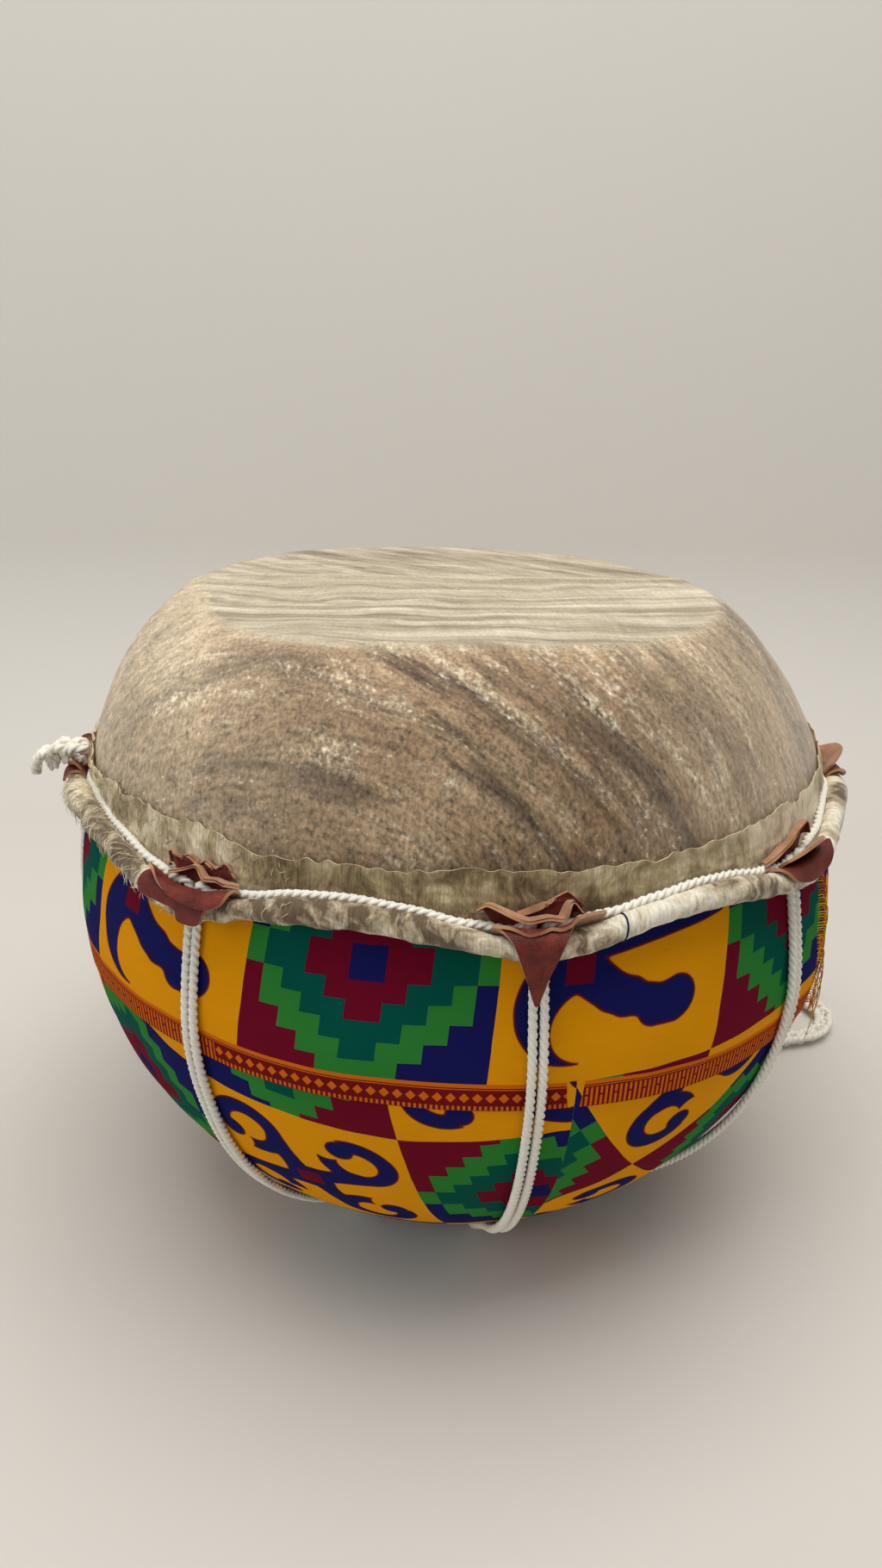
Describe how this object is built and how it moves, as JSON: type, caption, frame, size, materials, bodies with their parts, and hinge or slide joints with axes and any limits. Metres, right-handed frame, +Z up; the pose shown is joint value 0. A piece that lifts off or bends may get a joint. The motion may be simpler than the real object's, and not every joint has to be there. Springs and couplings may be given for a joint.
{
  "type": "gourd kettle drum",
  "caption": "Laced kettle drum: a calabash bowl dressed in printed cloth, with a hide head on a rolled hoop, tension rope pairs and leather washers.",
  "frame": {"origin": "centre of the flat that the bowl stands on, at floor height", "axes": "+Z up through the middle of the playing surface, -Y the front as pictured, +X to its right"},
  "size_m": [0.5283, 0.4368, 0.348],
  "materials": {
    "calabash": "satin",
    "printed_cloth": "matte",
    "cane": "satin",
    "hide": "matte",
    "thread": "matte",
    "red_leather": "satin",
    "cotton_rope": "matte",
    "iron_ring": "matte"
  },
  "bodies": {
    "root": {"gourd_shell": "calabash", "cloth_lower": "printed_cloth", "cloth_upper": "printed_cloth", "hoop_rod": "cane", "hide": "hide", "hoop_stitch": "thread", "leather_washer_1": "red_leather", "leather_washer_2": "red_leather", "leather_washer_3": "red_leather", "leather_washer_4": "red_leather", "leather_washer_5": "red_leather", "leather_washer_6": "red_leather", "leather_washer_7": "red_leather", "leather_washer_8": "red_leather", "lacing_rope": "cotton_rope", "base_ring": "iron_ring", "knot_bundle": "cotton_rope", "tail_chain": "cotton_rope"}
  },
  "joints": []
}
